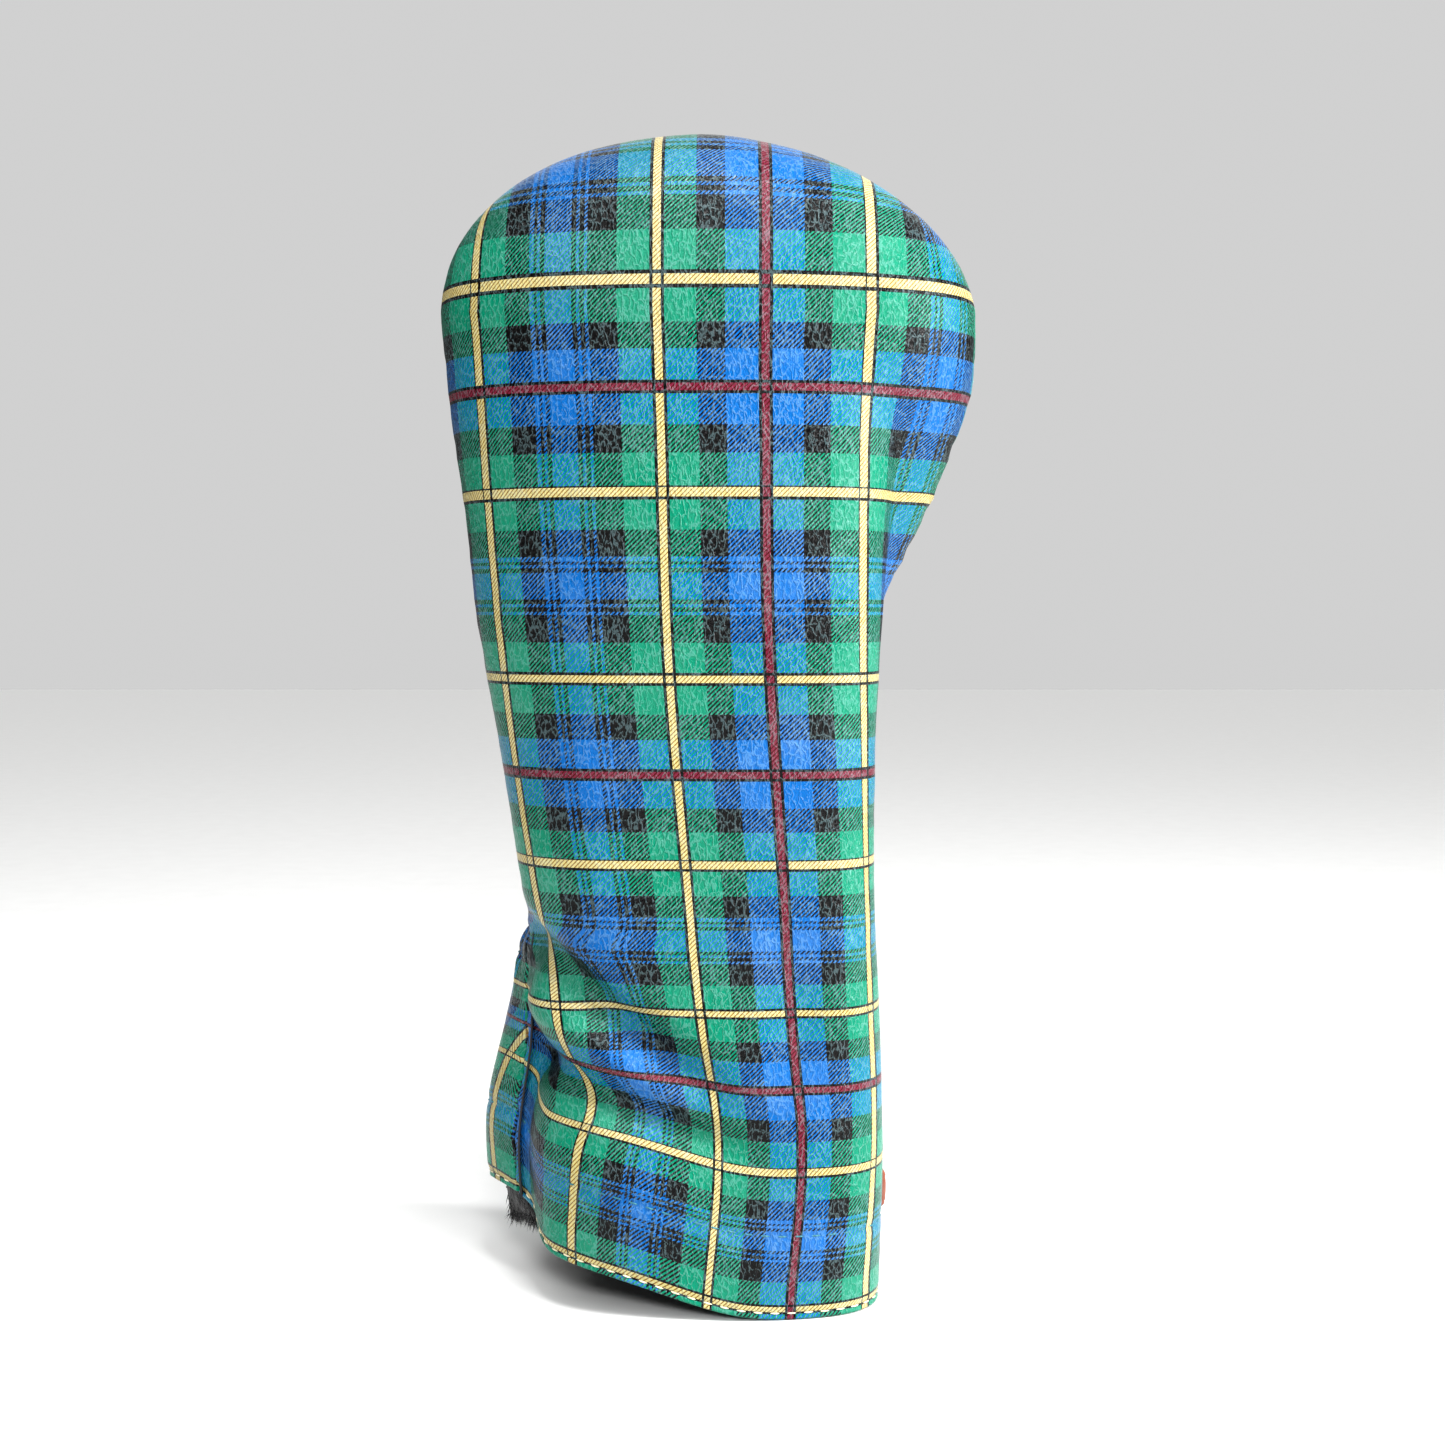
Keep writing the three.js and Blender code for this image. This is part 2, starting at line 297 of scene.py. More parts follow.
def crease(x, z, start, end, depth, width):
    """A soft valley (or, with a negative depth, a ridge) that fades out towards its end."""
    share, beside = along_line(x, z, start, end)
    fade = ease(share * 3 + 0.9) * (1 - ease((share - 0.45) / 0.65))
    return -depth * fade * hill(beside / width)


def front_folds(points):
    """The drag folds, swells and dents of the front panel."""
    x, z = points[..., 0], points[..., 2]
    height = sum(crease(x, z, *one) for one in creases)
    for swell, x0, z0, across, up in swells:
        height = height + swell * hill((x - x0) / across) * hill((z - z0) / up)
    return height


def back_folds(points, arc):
    """Upright pleats at the elastics, deepest on the rows, and the puffs between rows."""
    z = points[..., 2]
    wander = 1.7 * np.sin(arc / 11.3) + 1.1 * np.sin(arc / 5.1 + 1)
    pleats = np.sin(arc / 1.45 + wander + 0.02 * (z - neck)) + 0.5 * np.sin(arc / 0.83 + 2 * wander)
    gather = sum(hill((z - row) / 8.5) for row in elastic_rows) / 1.6
    rows = sum(hill((z - row) / 1.6) for row in elastic_rows)
    return 0.55 * gather * pleats - 0.7 * rows + 0.9 * gather


def seam_puckers(arc, length, z):
    """Small waves along the seams that die out a few millimetres away from them."""
    beside = np.minimum(arc, length - arc)
    wave = np.sin(z / 1.6 + 1.5 * np.sin(z / 17)) + 0.6 * np.sin(z / 0.9)
    return 0.28 * wave * np.exp(-beside / 5)


def seam_roll(arc, length, roll=1.5):
    """How far the edge turns in at the seam: a quarter circle of this radius."""
    beside = np.minimum(arc, length - arc)
    inside = np.clip(roll - beside, 0, roll)
    return -(roll - np.sqrt(np.maximum(roll ** 2 - inside ** 2, 0)))


def thread_grooves(row, roll=1.2):
    """The two hem rows pull the leathercloth in, and the hem edge rolls under."""
    edge = 0.45 * hill((row - hem_edge_row) / 1.1) + 0.4 * hill((row - hem_top_row) / 1.2)
    inside = np.clip(roll - row, 0, roll)
    return -edge - (roll - np.sqrt(np.maximum(roll ** 2 - inside ** 2, 0)))


def arc_lengths(points):
    """Length run along each row, and each row's whole length."""
    steps = np.linalg.norm(np.diff(points, axis=1), axis=-1)
    run = np.concatenate([np.zeros((len(points), 1)), np.cumsum(steps, axis=1)], axis=1)
    return run, run[:, -1:]


def summed_up(steps):
    """The sum of the steps below each row, which is 0 on the first row."""
    return np.concatenate([np.zeros((1, steps.shape[1])), np.cumsum(steps, axis=0)])


def climbed_lengths(points):
    """Length run up each column."""
    return summed_up(np.linalg.norm(np.diff(points, axis=0), axis=-1))


def shaped(side, share, row, depth=0.0, fine=True, sag=0.0):
    """Points of one layer with its folds; the fine puckers belong to the outer face only.

    Folds, pleats and the slow unevenness die out towards the seams or the crown.
    """
    points = place(side, share, row, depth, sag)
    arc, length = arc_lengths(points)
    before, after = np.abs(points[:, :1, 1]), np.abs(points[:, -1:, 1])
    arc, length = arc + before, length + before + after
    normal = outward(points, side)
    closing = ease((crown_height - row) / 30)
    if side < 0:
        height = front_folds(points) * ease(arc / 12)
    else:
        height = back_folds(points, arc) * ease(arc / 9) * ease((length - arc) / 9)
    height = height + 0.5 * lattice_noise(points, 31, 5) * closing
    if fine:
        height = height + seam_puckers(arc, length, points[..., 2]) * closing
        height = height + (seam_roll(arc, length) + thread_grooves(row))
        height = height + 0.16 * lattice_noise(points, 9, 6) * closing
    return points + normal * height[..., None]


# %% [markdown]
# ## From a grid to a mesh
# A grid of points becomes quads between neighbours. The top row of a full panel is one
# point at the crown, so its last quads close as triangles and leave no hole. Solidify adds
# the wall inwards, so that the outer face stays where the formula put it.

# %% Mesh helpers
placed = []


def add_piece(name, vertices, faces, material, **maps):
    """A mesh object at the origin, smooth shaded, with its UV maps in metres."""
    mesh = bpy.data.meshes.new(name)
    mesh.from_pydata(np.asarray(vertices, float).reshape(-1, 3) * MM, [], faces)
    mesh.polygons.foreach_set("use_smooth", np.ones(len(mesh.polygons), bool))
    corner = np.empty(len(mesh.loops), np.int32)
    mesh.loops.foreach_get("vertex_index", corner)
    for title, flat in maps.items():
        layer = mesh.uv_layers.new(name=title)
        layer.uv.foreach_set("vector", (flat.reshape(-1, 2)[corner] * MM).ravel())
    for one in material if isinstance(material, tuple) else (material,):
        mesh.materials.append(one)
    mesh.update()
    piece = bpy.data.objects.new(name, mesh)
    bpy.context.scene.collection.objects.link(piece)
    placed.append(name)
    return piece


def grid_piece(name, points, side, material, pole=False, **maps):
    """Quads between the rows and columns of a grid; with pole, the last row is one point."""
    rows, columns = points.shape[:2]
    rank = np.arange(rows * columns).reshape(rows, columns)[: rows - pole]
    corners = (rank[:-1, :-1], rank[:-1, 1:], rank[1:, 1:], rank[1:, :-1])
    faces = np.stack(corners, axis=-1).reshape(-1, 4).tolist()
    count = rows * columns
    if pole:
        top = np.full(columns - 1, rank[-1, -1] + 1)
        faces += np.stack([rank[-1, :-1], rank[-1, 1:], top], axis=-1).tolist()
        count = top[0] + 1
    if side > 0:
        faces = [face[::-1] for face in faces]
    maps = {title: flat.reshape(-1, 2)[:count] for title, flat in maps.items()}
    return add_piece(name, points.reshape(-1, 3)[:count], faces, material, **maps)


def thicken(piece, thickness, inner_slot=0):
    """Adds the wall inwards from the outer face."""
    wall = piece.modifiers.new("Wall", "SOLIDIFY")
    wall.thickness = thickness * MM
    wall.offset = -1
    wall.material_offset = inner_slot
    return piece


def eased_shares(count, pull=0.55):
    """Shares from 0 to 1 that lie closer together towards both seams."""
    even = np.linspace(0, 1, count)
    return even - pull * np.sin(2 * np.pi * even) / (2 * np.pi)


def stand_for(piece, slot, *nodes):
    """Rides the piece on the one body, in place of the nodes; the slot is not used."""
    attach(piece, "root")
    if nodes:
        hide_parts(*nodes)


def declare(piece, slot, node):
    """Stands a piece in for its node."""
    stand_for(piece, slot, node)


# %% [markdown]
# ## Node groups that several finishes share
# Every woven or pebbled finish here is made of the same few effects. Each one is a group
# that gives out a colour, a mask or a height and leaves the shader itself to the material,
# so one grain serves the leathercloth and the leather tab, and one weave serves the
# backing, the tape and the elastics.

# %% Group helpers


def new_group(name, inputs, outputs):
    """An empty node group with named sockets."""
    group = bpy.data.node_groups.new(name, "ShaderNodeTree")
    for title, kind, value in inputs:
        socket = group.interface.new_socket(title, in_out="INPUT", socket_type=f"NodeSocket{kind}")
        if value is not None:
            socket.default_value = value
    for title, kind in outputs:
        group.interface.new_socket(title, in_out="OUTPUT", socket_type=f"NodeSocket{kind}")
    start = group.nodes.new("NodeGroupInput")
    end = group.nodes.new("NodeGroupOutput")
    return group, start, end


def feed(tree, socket, value):
    """Links a node's output to a socket, or sets the socket to a plain value."""
    if isinstance(value, bpy.types.NodeSocket):
        tree.links.new(value, socket)
    elif value is not None:
        socket.default_value = value


def maths(tree, operation, *values):
    """A Math node of one operation."""
    node = tree.nodes.new("ShaderNodeMath")
    node.operation = operation
    for socket, value in zip(node.inputs, values):
        feed(tree, socket, value)
    return node.outputs[0]


def blend(tree, share, a, b, mode="MIX"):
    """A colour mix of a and b."""
    node = tree.nodes.new("ShaderNodeMix")
    node.data_type = "RGBA"
    node.blend_type = mode
    feed(tree, node.inputs["Factor"], share)
    feed(tree, node.inputs["A"], a)
    feed(tree, node.inputs["B"], b)
    return node.outputs["Result"]


def spread(tree, value, low, high, to_low=0.0, to_high=1.0, kind="SMOOTHSTEP"):
    """A Map Range node from one range to another."""
    node = tree.nodes.new("ShaderNodeMapRange")
    node.interpolation_type = kind
    for socket, given in zip(node.inputs, (value, low, high, to_low, to_high)):
        feed(tree, socket, given)
    return node.outputs[0]


def scaled(tree, vector, scale):
    """A Mapping node that only scales."""
    node = tree.nodes.new("ShaderNodeMapping")
    feed(tree, node.inputs["Vector"], vector)
    node.inputs["Scale"].default_value = scale
    return node.outputs[0]


def noise(tree, vector, scale, detail=3.0, roughness=0.5):
    """A Noise Texture, from 0 to 1."""
    node = tree.nodes.new("ShaderNodeTexNoise")
    feed(tree, node.inputs["Vector"], vector)
    node.inputs["Scale"].default_value = scale
    node.inputs["Detail"].default_value = detail
    node.inputs["Roughness"].default_value = roughness
    return node


def srgb(red, green, blue, alpha=1.0):
    """A screen colour of 0 to 255 as the linear colour that nodes hold."""
    share = np.array([red, green, blue]) / 255
    linear = np.where(share <= 0.04045, share / 12.92, ((share + 0.055) / 1.055) ** 2.4)
    return (*map(float, linear), alpha)


def place_group(tree, group, **values):
    """A group node in a material or another group, with its inputs fed."""
    node = tree.nodes.new("ShaderNodeGroup")
    node.node_tree = group
    for title, value in values.items():
        feed(tree, node.inputs[title.replace("_", " ")], value)
    return node


# %% [markdown]
# ## The tartan
# A tartan is one list of threads, the sett, used both for the upright warp and for the
# level weft. Here the sett is made of two halves: a red-centred half with broad stripes and
# a blue-centred half with thin pairs. Where two colours cross, a twill shows both in fine
# slanting strokes; the print keeps those strokes. Yellow and red lines lie on top between
# black guard threads.

# %% The sett
# The fourth number of a colour is 1 for a line that lies on top and 0 for the ground.
GREEN, BLACK, BLUE = srgb(14, 126, 98, 0), srgb(5, 4, 5, 0), srgb(8, 96, 166, 0)
YELLOW, RED, GUARD = srgb(196, 184, 128), srgb(112, 38, 58), srgb(5, 4, 5)
red_half = [(YELLOW, 1.15), (GUARD, 0.85), (GREEN, 8.7), (BLACK, 7.6), (BLUE, 8.9), (GUARD, 0.85),
            (RED, 2.2), (GUARD, 0.85), (BLUE, 8.9), (BLACK, 7.8), (GREEN, 8.7), (GUARD, 0.85)]
blue_half = [(YELLOW, 2.3), (GUARD, 0.85), (GREEN, 8.4), (BLACK, 7.3), (BLUE, 1.15), (BLACK, 1.0),
             (BLUE, 1.0), (BLACK, 1.0), (BLUE, 7.6), (BLACK, 1.1), (BLUE, 0.9), (BLACK, 1.1),
             (BLUE, 1.15), (BLACK, 7.8), (GREEN, 8.4), (GUARD, 0.85), (YELLOW, 1.15)]
red_width = sum(width for _, width in red_half) + 1.15
sett_width = sum(width for _, width in red_half + blue_half)
blue_width = sett_width - red_width
STROKE_SHADE = (0.42, 0.27, 0.12, 1)  # the strokes that darken the yellow and red lines
print(f"sett {sett_width:.1f} mm: red half {red_width:.1f}, blue half {blue_width:.1f}")


def make_sett():
    """Distance across the threads in millimetres, to thread colour and line mask."""
    group, start, end = new_group("Tartan sett", [("Distance", "Float", 0.0)],
                                  [("Colour", "Color"), ("Line", "Float")])
    turns = maths(group, "DIVIDE", start.outputs[0], sett_width)
    whole_turns = 40.0  # added so that the sum is positive all over the cloth
    share = maths(group, "FRACT", maths(group, "ADD", turns, whole_turns))
    ramp = group.nodes.new("ShaderNodeValToRGB")
    ramp.color_ramp.interpolation = "CONSTANT"
    elements = ramp.color_ramp.elements
    elements.remove(elements[1])
    elements[0].color = red_half[0][0]
    done = 0.0
    for index, (colour, width) in enumerate(red_half + blue_half):
        stop = elements[0] if index == 0 else elements.new(done / sett_width)
        stop.color = colour
        done += width
    group.links.new(share, ramp.inputs[0])
    group.links.new(ramp.outputs["Color"], end.inputs[0])
    group.links.new(ramp.outputs["Alpha"], end.inputs[1])
    return group


def make_tartan(sett):
    """Two setts crossed, with twill strokes where their colours differ."""
    group, start, end = new_group("Tartan print", [("Place", "Vector", None),
                                                   ("Cloth", "Vector", None),
                                                   ("Stroke", "Float", 1.25)],
                                  [("Colour", "Color")])
    split = group.nodes.new("ShaderNodeSeparateXYZ")
    group.links.new(start.outputs[0], split.inputs[0])
    warp = place_group(group, sett, Distance=split.outputs[0])
    weft = place_group(group, sett, Distance=split.outputs[1])
    lengths = group.nodes.new("ShaderNodeSeparateXYZ")
    group.links.new(start.outputs[1], lengths.inputs[0])
    slant = maths(group, "SUBTRACT", lengths.outputs[0], lengths.outputs[1])
    strokes = maths(group, "FRACT", maths(group, "DIVIDE", slant, start.outputs[2]))
    over = maths(group, "LESS_THAN", strokes, 0.5)
    ground = blend(group, over, warp.outputs[0], weft.outputs[0])
    with_warp = blend(group, warp.outputs[1], ground, warp.outputs[0])
    crossing = blend(group, warp.outputs[1], (1, 1, 1, 1), warp.outputs[0])
    weft_line = blend(group, 1.0, crossing, weft.outputs[0], "DARKEN")
    whole = blend(group, weft.outputs[1], with_warp, weft_line)
    line = maths(group, "MAXIMUM", warp.outputs[1], weft.outputs[1])
    stroke_on_line = maths(group, "MULTIPLY", line, maths(group, "LESS_THAN", strokes, 0.34))
    darkened = blend(group, 1.0, whole, STROKE_SHADE, "MULTIPLY")
    shaded = blend(group, stroke_on_line, whole, darkened)
    group.links.new(shaded, end.inputs[0])
    return group


def make_grain():
    """Leather grain: raised veins between small sunken cells, longer one way than the other."""
    group, start, end = new_group("Pebbled grain", [("Place", "Vector", None),
                                                    ("Size", "Float", 1.0)],
                                  [("Height", "Float"), ("Vein", "Float")])
    stretched = scaled(group, start.outputs[0], (1.0, 0.5, 1.0))
    sized = group.nodes.new("ShaderNodeVectorMath")
    sized.operation = "DIVIDE"
    group.links.new(stretched, sized.inputs[0])
    group.links.new(start.outputs[1], sized.inputs[1])
    wander = noise(group, sized.outputs[0], 1.3, 2.0)
    shift = group.nodes.new("ShaderNodeVectorMath")
    shift.operation = "MULTIPLY_ADD"
    group.links.new(wander.outputs["Color"], shift.inputs[0])
    shift.inputs[1].default_value = (1.1, 1.1, 1.1)
    group.links.new(sized.outputs[0], shift.inputs[2])
    total = None
    for scale, weight in ((1.0, 1.0), (2.1, 0.45)):
        cells = group.nodes.new("ShaderNodeTexVoronoi")
        cells.feature = "DISTANCE_TO_EDGE"
        group.links.new(shift.outputs[0], cells.inputs["Vector"])
        cells.inputs["Scale"].default_value = scale
        vein = spread(group, cells.outputs["Distance"], 0.0, 0.26, 1.0, 0.0)
        part = maths(group, "MULTIPLY", vein, weight)
        total = part if total is None else maths(group, "ADD", total, part)
    broad = noise(group, sized.outputs[0], 0.22, 3.0)
    strength = spread(group, broad.outputs[0], 0.3, 0.75, 0.8, 1.1)
    height = maths(group, "MULTIPLY", total, strength)
    group.links.new(height, end.inputs[0])
    group.links.new(spread(group, height, 0.78, 1.2), end.inputs[1])
    return group


def make_weave():
    """Plain weave: threads that pass over and under, as a product of two waves."""
    group, start, end = new_group("Plain weave", [("Place", "Vector", None),
                                                  ("Pitch", "Float", 0.6)],
                                  [("Height", "Float"), ("Shade", "Float")])
    split = group.nodes.new("ShaderNodeSeparateXYZ")
    group.links.new(start.outputs[0], split.inputs[0])
    waves = []
    for index in range(2):
        threads = maths(group, "DIVIDE", split.outputs[index], start.outputs[1])
        waves.append(maths(group, "SINE", maths(group, "MULTIPLY", threads, math.pi)))
    product = maths(group, "MULTIPLY", *waves)
    height = maths(group, "ABSOLUTE", product)
    shade = spread(group, product, -0.6, 0.6, 0.75, 1.1, "LINEAR")
    group.links.new(height, end.inputs[0])
    group.links.new(shade, end.inputs[1])
    return group


def make_tone():
    """Slow changes of tone from handling: a colour made a little lighter and duller, or back."""
    group, start, end = new_group("Handling tone", [("Place", "Vector", None),
                                                    ("Colour", "Color", None),
                                                    ("Amount", "Float", 0.12)],
                                  [("Colour", "Color"), ("Mask", "Float")])
    slow = noise(group, start.outputs[0], 34.0, 4.0, 0.6)
    mask = spread(group, slow.outputs[0], 0.3, 0.72)
    swing = maths(group, "MULTIPLY", maths(group, "SUBTRACT", mask, 0.5), start.outputs[2])
    tint = group.nodes.new("ShaderNodeHueSaturation")
    group.links.new(maths(group, "ADD", swing, 1.0), tint.inputs["Value"])
    group.links.new(maths(group, "SUBTRACT", 1.0, swing), tint.inputs["Saturation"])
    group.links.new(start.outputs[1], tint.inputs["Color"])
    group.links.new(tint.outputs[0], end.inputs[0])
    group.links.new(mask, end.inputs[1])
    return group


tartan_print = make_tartan(make_sett())
pebbled_grain, plain_weave, handling_tone = make_grain(), make_weave(), make_tone()
print("groups", [group.name for group in bpy.data.node_groups])

# %% [markdown]
# ## The finishes
# Leathercloth is a woven backing under a thin vinyl skin: the print is in the skin, and a
# roller presses the grain into it. Its raised veins are painted paler in every colour, a
# painted highlight for the glints of light along them. The fleece is dull black with a
# short sheen. Foam, tape and elastic are plain but never flat: cells and weave break them
# up, and the foam's cells are painted darker in their hollows, as painted shade. All
# patterns read the piece's own maps, in millimetres, or Object coordinates, so they stay
# on the piece in every view.

# %% Material helpers


def read_map(tree, title):
    """A UV map of the piece, turned from metres into millimetres."""
    source = tree.nodes.new("ShaderNodeUVMap")
    source.uv_map = title
    return scaled(tree, source.outputs[0], (1000, 1000, 1))


def new_material(name):
    """A material with its tree, its shader and the object's own coordinates."""
    material = bpy.data.materials.new(name)
    material.use_nodes = True
    tree = material.node_tree
    shader = tree.nodes["Principled BSDF"]
    source = tree.nodes.new("ShaderNodeTexCoord")
    return material, tree, shader, source


def finish(tree, shader, colour, roughness, height, distance):
    """Feeds the shader a colour, a roughness and a bump, whose distance is in millimetres."""
    feed(tree, shader.inputs["Base Color"], colour)
    feed(tree, shader.inputs["Roughness"], roughness)
    node = tree.nodes.new("ShaderNodeBump")
    node.inputs["Distance"].default_value = distance * MM
    node.inputs["Strength"].default_value = 1.0
    feed(tree, node.inputs["Height"], height)
    tree.links.new(node.outputs[0], shader.inputs["Normal"])


# %% Printed leathercloth


def make_printed():
    """The tartan under a pebbled, half-gloss vinyl skin, with a painted highlight on its raised
    veins.
    """
    material, tree, shader, source = new_material("Printed leathercloth")
    cloth = read_map(tree, "Cloth")
    printed = place_group(tree, tartan_print, Place=read_map(tree, "Print"), Cloth=cloth)
    toned = place_group(tree, handling_tone, Place=source.outputs["Object"],
                        Colour=printed.outputs[0], Amount=0.16)
    grain = place_group(tree, pebbled_grain, Place=cloth, Size=1.45)
    # Painted highlight: the raised veins are painted pale blue-white, for the glints of light along
    # them.
    vein_glint_share = maths(tree, "MULTIPLY", grain.outputs["Vein"], 0.12)
    with_painted_glints = blend(tree, vein_glint_share, toned.outputs[0], srgb(176, 214, 220))
    rough = spread(tree, toned.outputs["Mask"], 0.0, 1.0, 0.24, 0.32, "LINEAR")
    shader.inputs["Specular IOR Level"].default_value = 0.22
    finish(tree, shader, with_painted_glints, rough, grain.outputs["Height"], 0.15)
    return material


printed_leathercloth = make_printed()

# %% Woven goods, fleece and foam


def make_woven(name, dark, light, pitch, depth):
    """Woven goods: the cotton back of the leathercloth, a tape or an elastic."""
    material, tree, shader, source = new_material(name)
    weave = place_group(tree, plain_weave, Place=read_map(tree, "Cloth"), Pitch=pitch)
    toned = place_group(tree, handling_tone, Place=source.outputs["Object"],
                        Colour=light, Amount=0.2)
    base = blend(tree, weave.outputs["Shade"], dark, toned.outputs[0])
    finish(tree, shader, base, 0.8, weave.outputs["Height"], depth)
    return material


def make_fleece():
    """Dull black pile: clumps over fine fibres, with a soft sheen."""
    material, tree, shader, source = new_material("Black fleece")
    clumps = noise(tree, source.outputs["Object"], 320.0, 4.0, 0.65)
    shade = spread(tree, clumps.outputs[0], 0.35, 0.7)
    base = blend(tree, shade, srgb(10, 9, 11), srgb(34, 32, 35))
    shader.inputs["Sheen Weight"].default_value = 0.35
    finish(tree, shader, base, 0.95, clumps.outputs[0], 1.2)
    return material


def make_foam():
    """Grey polyurethane foam: small open cells, painted darker in their hollows as painted shade.
    """
    material, tree, shader, source = new_material("Grey foam")
    cells = tree.nodes.new("ShaderNodeTexVoronoi")
    tree.links.new(source.outputs["Object"], cells.inputs["Vector"])
    cells.inputs["Scale"].default_value = 900.0
    depth = spread(tree, cells.outputs["Distance"], 0.1, 0.7)
    # Painted shade: each cell is darker towards its hollow middle, where the bump is lowest.
    base = blend(tree, depth, srgb(90, 93, 97), srgb(168, 170, 172))
    finish(tree, shader, base, 0.9, depth, 0.3)
    return material


backing_dark, backing_light = srgb(22, 48, 56), srgb(45, 92, 102)
leathercloth_backing = make_woven("Leathercloth backing", backing_dark, backing_light, 0.7, 0.12)
black_fleece, grey_foam = make_fleece(), make_foam()
woven_tape = make_woven("Woven tape", srgb(14, 14, 15), srgb(48, 48, 50), 0.5, 0.12)
black_elastic = make_woven("Black elastic", srgb(12, 12, 13), srgb(44, 44, 46), 0.8, 0.2)

# %% Thread and leather


def make_thread(name, light, dark):
    """Waxed thread: two plies twisted, shown as slanting ridges."""
    material, tree, shader, source = new_material(name)
    twist = tree.nodes.new("ShaderNodeTexWave")
    twist.bands_direction = "DIAGONAL"
    tree.links.new(source.outputs["Object"], twist.inputs["Vector"])
    twist.inputs["Scale"].default_value = 520.0
    twist.inputs["Distortion"].default_value = 0.6
    toned = place_group(tree, handling_tone, Place=source.outputs["Object"],
                        Colour=light, Amount=0.2)
    base = blend(tree, maths(tree, "MULTIPLY", twist.outputs["Fac"], 0.35),
                 toned.outputs[0], dark)
    finish(tree, shader, base, 0.6, twist.outputs["Fac"], 0.08)
    return material


def make_leather():
    """Tan leather for the side tab, darker in its creases."""
    material, tree, shader, source = new_material("Tan leather")
    millimetres = scaled(tree, source.outputs["Object"], (1000, 1000, 1000))
    grain = place_group(tree, pebbled_grain, Place=millimetres, Size=0.5)
    toned = place_group(tree, handling_tone, Place=source.outputs["Object"],
                        Colour=srgb(150, 84, 60), Amount=0.3)
    base = blend(tree, maths(tree, "MULTIPLY", grain.outputs["Vein"], 0.4),
                 toned.outputs[0], srgb(122, 52, 34))
    finish(tree, shader, base, 0.5, grain.outputs["Height"], 0.08)
    return material


cream_thread = make_thread("Cream thread", srgb(236, 228, 200), srgb(176, 160, 120))
sea_green_thread = make_thread("Sea green thread", srgb(62, 128, 140), srgb(22, 60, 76))
tan_leather = make_leather()
print("finishes", [material.name for material in bpy.data.materials])

# %% [markdown]
# ## Where the print lies on the front
# The cloth is cut so that one red line runs up the middle of the right half. The upright
# lines lean a little because the cloth is drawn in at the neck and dragged at the left. So
# each yellow line is given by its distance from the centre plane at a few heights, and each
# level line by its height. Between the lines the print follows the length of the cloth.

# %% Print lines
upright_lines = [
    smooth_curve([14, 35, 52, 67, 92, 120, 176, 216, 273, 291, 312],
                 [-37, -35, -31.3, -37.7, -42.5, -47.5, -54.7, -58.1, -61.8, -64, -66]),
    smooth_curve([0, 56, 77, 121, 176, 242, 316], [-0.5, 2.3, -1.1, -5.6, -10, -12, -14.4]),
    smooth_curve([10, 51, 90, 140, 207, 251, 304], [43.2, 45.5, 44, 42.4, 41, 41.6, 45.4]),
]
level_lines = [3.2, 40.5, 63, 83.7, 123.7, 148, 173.4, 222, 249, 274.5]
level_steps = [blue_width, red_width / 2, red_width / 2, blue_width, red_width / 2,
               red_width / 2, blue_width, red_width / 2, red_width / 2]
level_places = np.concatenate([[0], np.cumsum(level_steps)]) - sum(level_steps)
level_curve = smooth_curve(level_lines, level_places)
HEM_STRETCH = 1.45  # print per millimetre of height below the first level line
CROWN_STRETCH = 0.83  # print per millimetre of the way over the crown
SIDEWAYS_SHARE = 0.2  # how much of a step's square counts where it runs sideways
LINE_INSIDE = 0.975  # an upright line stays within this share of its row's reach
LEFT_LIMIT = 22  # left of the first yellow line the print slows down to this distance
STRAIGHT_WITHIN = 44  # over the crown, lines nearer the middle than this stay upright
CHANGE_OVER = 24  # and from this much further out they keep their length along the cloth
BACK_PRINT_SHIFT = 36  # print distance at the middle of the back, near the red line


def level_print(row, points):
    """Distance along the warp: the level curve on the body, then the way over the crown."""
    body = level_curve(row)
    last = np.searchsorted(row[:, 0], equator)
    below = level_places[0] + (row - level_lines[0]) * HEM_STRETCH
    steps = np.diff(points, axis=0)
    sideways = SIDEWAYS_SHARE * steps[..., 1] ** 2 + SIDEWAYS_SHARE * steps[..., 0] ** 2
    climbed = summed_up(CROWN_STRETCH * np.sqrt(steps[..., 2] ** 2 + sideways))
    above = level_curve(equator) + climbed - climbed[last]
    low = np.where(row < level_lines[0], below, body)
    return np.where(row > equator, above, low)


def crossing_arc(x, arc, line):
    """Along each row, the arc length at which x first passes the line."""
    line = np.minimum(line, x.max(axis=1) * LINE_INSIDE)
    line = np.maximum(line, x.min(axis=1) * LINE_INSIDE)
    after = np.argmax(x >= line[:, None], axis=1)
    after = np.clip(after, 1, x.shape[1] - 1)
    rows = np.arange(len(x))
    x0, x1 = x[rows, after - 1], x[rows, after]
    a0, a1 = arc[rows, after - 1], arc[rows, after]
    return a0 + (a1 - a0) * np.clip((line - x0) / np.maximum(x1 - x0, 1e-6), 0, 1)


def over_crown(across, arc, x, row):
    """Over the crown the upright lines run on as they left the equator.

    Near the middle they keep their distance from the centre plane. Towards the ends they
    keep their length along the cloth from its middle column, until the seam cuts them.
    """
    last = np.searchsorted(row[:, 0], equator) - 1
    along = arc - arc[:, arc.shape[1] // 2, None]
    straight = np.interp(x, x[last], across[last])
    by_length = np.interp(along, along[last], across[last])
    end = ease((np.abs(x) - STRAIGHT_WITHIN) / CHANGE_OVER)
    return np.where(row > equator, straight * (1 - end) + by_length * end, across)


def cloth_map(points, row):
    """True lengths of the cloth: across from the middle column, and up from the equator."""
    arc, _ = arc_lengths(points)
    run = climbed_lengths(points)
    across = over_crown(arc - arc[:, points.shape[1] // 2, None], arc, points[..., 0], row)
    return np.stack([across, run - run[np.searchsorted(row[:, 0], equator)]], axis=-1)


